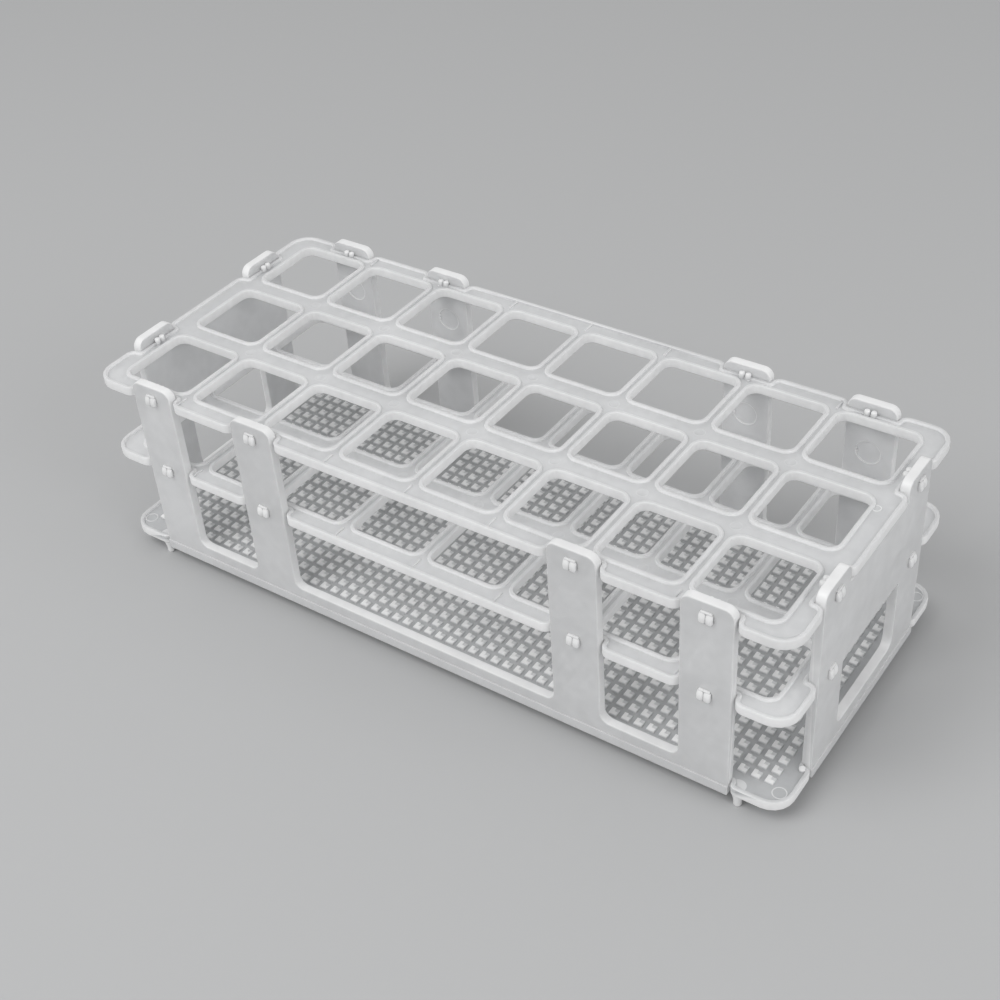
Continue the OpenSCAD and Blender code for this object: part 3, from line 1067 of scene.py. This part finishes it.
@dataclass(frozen=True)
class Polypropylene:
    """Natural polypropylene: milky, slightly blue, greyer where it is thin and whiter along its edges with
    painted glow.
    """

    name: str
    thin: Colour
    thick: Colour = (0.93, 0.932, 0.935)
    clear: float = 0.3
    milk: float = 0.6
    milk_depth_mm: float = 2.0
    roughness: float = 0.36
    roughness_spread: Tuple[float, float] = (-0.05, 0.09)
    index: float = 1.49
    cloud_size: float = 45.0
    contrast: float = 1.6
    grain: float = 0.3
    bump: float = 0.5
    bump_mm: float = 0.03

    def build(self) -> bpy.types.Material:
        """Builds the material.

        Returns:
            The material.
        """
        mat = bpy.data.materials.new(self.name)
        mat.use_nodes = True
        kit = NodeKit(mat.node_tree)
        where = kit.add("ShaderNodeTexCoord").outputs["Object"]
        # tint share: thickness of plastic with painted glow along edges and upright faces
        solid = kit.add("ShaderNodeAttribute", attribute_name="solid").outputs["Fac"]
        slow = {"Vector": where, "Size": self.cloud_size, "Contrast": self.contrast}
        clouds = kit.add("ShaderNodeGroup", slow, node_tree=shared("milky_cloud", milky_cloud))
        cloud = clouds.outputs["Cloud"]
        tint = kit.add("ShaderNodeGroup", {"Thickness_and_glow": solid, "Cloud": cloud, "Thin": (*self.thin, 1.0),
                                           "Thick": (*self.thick, 1.0), "Clear": self.clear},
                       node_tree=shared("thickness_and_glow_tint", thickness_and_glow_tint))
        skin = kit.add("ShaderNodeGroup", {"Vector": where, "Grain": self.grain},
                       node_tree=shared("moulded_skin", moulded_skin))
        low, high = self.roughness_spread
        gloss = kit.add("ShaderNodeMapRange", {"Value": cloud, "To Min": self.roughness + low,
                                               "To Max": self.roughness + high})
        bump = kit.add("ShaderNodeBump", {"Strength": self.bump, "Distance": self.bump_mm * MM,
                                          "Height": skin.outputs["Height"]})
        kit.feed(mat.node_tree.nodes["Principled BSDF"], {
            "Base Color": tint.outputs["Color"], "Alpha": tint.outputs["Alpha"],
            "Roughness": gloss.outputs["Result"], "Normal": bump.outputs["Normal"], "IOR": self.index,
            "Subsurface Weight": self.milk, "Subsurface Radius": (1.0, 1.0, 1.0),
            "Subsurface Scale": self.milk_depth_mm * MM})
        return mat


def shared(name: str, build: Callable[[], bpy.types.NodeTree]) -> bpy.types.NodeTree:
    """The node group of one name, built the first time that it is asked for."""
    return bpy.data.node_groups.get(name) or build()


@dataclass
class Studio:
    """The pale floor, the soft lamps and the camera where the photographer stood."""

    eye: Tuple[float, float, float] = (0.2371442, -0.3191893, 0.3441953)
    heading_deg: float = 127.07357
    tilt_deg: float = -38.23583
    roll_deg: float = -4.36033
    focal_px: float = 1591.8885
    sensor_mm: float = 36.0
    photo_px: float = 1000.0
    clip: Tuple[float, float] = (0.01, 20.0)
    floor_half: float = 3.0
    floor_colour: Colour = (0.50, 0.504, 0.508)
    floor_roughness: float = 0.9
    floor_gloss: float = 0.1
    room_light: float = 0.58
    aim: Tuple[float, float, float] = (0.0, 0.0, 0.03)

    def camera(self) -> None:
        """Makes the camera from where it stood and how it was held.

        With heading h, tilt t and roll r it looks along a = (cos h cos t, sin h cos t, sin t). Level on its
        right is l = (sin h, -cos h, 0), and above it is u = l x a. Rolled, its right is l cos r + u sin r
        and its top is u cos r - l sin r.
        """
        data = bpy.data.cameras.new("camera")
        data.sensor_width = self.sensor_mm
        data.lens = self.focal_px * self.sensor_mm / self.photo_px
        data.clip_start, data.clip_end = self.clip
        obj = bpy.data.objects.new("camera", data)
        bpy.context.scene.collection.objects.link(obj)
        h, t, r = np.radians([self.heading_deg, self.tilt_deg, self.roll_deg])
        ahead = np.array([np.cos(h) * np.cos(t), np.sin(h) * np.cos(t), np.sin(t)])
        level = np.array([np.sin(h), -np.cos(h), 0.0])
        above = np.cross(level, ahead)
        turn = np.eye(4)
        turn[:3, 0] = level * np.cos(r) + above * np.sin(r)
        turn[:3, 1] = above * np.cos(r) - level * np.sin(r)
        turn[:3, 2] = -ahead
        turn[:3, 3] = self.eye
        obj.matrix_world = Matrix(turn.tolist())
        bpy.context.scene.camera = obj

    def floor(self) -> None:
        """Lays the plain floor at the ends of the feet."""
        s = self.floor_half
        mesh = bpy.data.meshes.new("floor")
        mesh.from_pydata([(-s, -s, 0), (s, -s, 0), (s, s, 0), (-s, s, 0)], [], [(0, 1, 2, 3)])
        obj = piece("floor", mesh)
        mat = bpy.data.materials.new("floor_paper")
        mat.use_nodes = True
        NodeKit(mat.node_tree).feed(mat.node_tree.nodes["Principled BSDF"], {
            "Base Color": (*self.floor_colour, 1.0), "Roughness": self.floor_roughness,
            "Specular IOR Level": self.floor_gloss})
        mesh.materials.append(mat)

    def lamp(self, name: str, place: Sequence[float], size: float, power: float) -> None:
        """Hangs a square soft lamp that faces the rack.

        Args:
            name: The lamp's name.
            place: Where it hangs, in metres.
            size: Its side, in metres.
            power: Its power, in watts.
        """
        data = bpy.data.lights.new(name, "AREA")
        data.size = size
        data.energy = power
        obj = bpy.data.objects.new(name, data)
        bpy.context.scene.collection.objects.link(obj)
        obj.location = place
        obj.rotation_mode = "QUATERNION"
        obj.rotation_quaternion = (Vector(self.aim) - Vector(place)).to_track_quat("-Z", "Y")

    def world(self) -> None:
        """Fills the room with plain light of one level."""
        world = bpy.data.worlds.new("room")
        world.use_nodes = True
        NodeKit(world.node_tree).feed(world.node_tree.nodes["Background"], {
            "Color": (1.0, 1.0, 1.0, 1.0), "Strength": self.room_light})
        bpy.context.scene.world = world

    def build(self) -> None:
        """Sets up the whole studio."""
        self.camera()
        self.floor()
        self.world()
        self.lamp("key", (-0.35, -0.78, 1.15), size=0.9, power=8.5)
        self.lamp("fill", (1.25, -0.1, 0.6), size=0.9, power=4.4)
        bpy.context.scene.view_settings.view_transform = "Standard"


def rule_flats(mesh: bpy.types.Mesh) -> None:
    """Lets flat faces rule the normals at their borders, so that roundings run into them without a streak.

    A face counts as flat when its normal lies along an axis. The weighted normals read the strength from
    the attribute of this name, and only the strongest faces round a point count there.

    Args:
        mesh: The mesh that gets the strengths.
    """
    normals = np.empty(len(mesh.polygons) * 3, np.float32)
    mesh.polygons.foreach_get("normal", normals)
    flat = np.abs(normals.reshape(-1, 3)).max(axis=1) > FLAT
    layer = mesh.attributes.new("__mod_weightednormals_faceweight", "INT", "FACE")
    layer.data.foreach_set("value", np.where(flat, STRONG, 0).astype(np.int32))


def dress(obj: bpy.types.Object, node: str, plastic: bpy.types.Material) -> None:
    """Gives a moulding its finish and its place in the frame.

    Args:
        obj: The moulding.
        node: The CAD node that it stands for.
        plastic: Its material.
    """
    obj.data.materials.clear()
    obj.data.materials.append(plastic)
    obj.data.polygons.foreach_set("use_smooth", np.ones(len(obj.data.polygons), bool))
    obj.data.set_sharp_from_angle(angle=np.radians(SHARP))
    rule_flats(obj.data)
    smooth = obj.modifiers.new("even_normals", "WEIGHTED_NORMAL")
    smooth.keep_sharp = True
    smooth.use_face_influence = True
    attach(obj, "root")
    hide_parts(node)
    log.info("%s: %d faces, stands for %s", obj.name, len(obj.data.polygons), node)


def main() -> None:
    """Builds the studio and the rack's seven mouldings."""
    logging.basicConfig(level=logging.INFO)
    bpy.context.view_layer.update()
    Studio().build()
    # one plastic in lit and shaded copies: the middle tier is lightened and the top tier darkened as painted
    # light and shade, and the base has painted light on its studs and painted shade on its web
    tier_lit_and_shaded_pp = {
        Kind.TOP: Polypropylene("top_polypropylene_shaded", (0.79, 0.797, 0.806), (0.88, 0.882, 0.885)),
        Kind.MIDDLE: Polypropylene("middle_polypropylene_lightened", (0.87, 0.877, 0.886)),
        Kind.BASE: Polypropylene("base_polypropylene_lit_and_shaded", (0.67, 0.68, 0.69), (0.97, 0.97, 0.97), clear=0.25)}
    # the walls' bright tint is lowered as painted shade against the front lamp
    wall_shaded_pp = Polypropylene("wall_polypropylene_shaded", (0.85, 0.855, 0.862), (0.87, 0.872, 0.875),
                            cloud_size=30.0)
    rack = Rack()
    for kind in Kind:
        dress(Tier(rack, kind).build(), kind.value, tier_lit_and_shaded_pp[kind].build())
    wall_plastic = wall_shaded_pp.build()
    long_wall = Panel(rack, rack.side_posts, walled=False).slab("long_wall")
    end_wall = Panel(rack, rack.end_posts, walled=True).slab("end_wall")
    hx, hy = rack.half
    walls = [("front_side_panel", long_wall, 0, hy), ("right_end_panel", end_wall, 1, hx),
             ("back_side_panel", long_wall, 2, hy), ("left_end_panel", end_wall, 3, hx)]
    for name, source, quarters, half in walls:
        mesh = stood(source.data, quarters, half, name)
        dress(piece(name + "_moulding", mesh), name, wall_plastic)
    for source in (long_wall, end_wall):
        bpy.data.objects.remove(source)


if __name__ == "__main__":
    main()
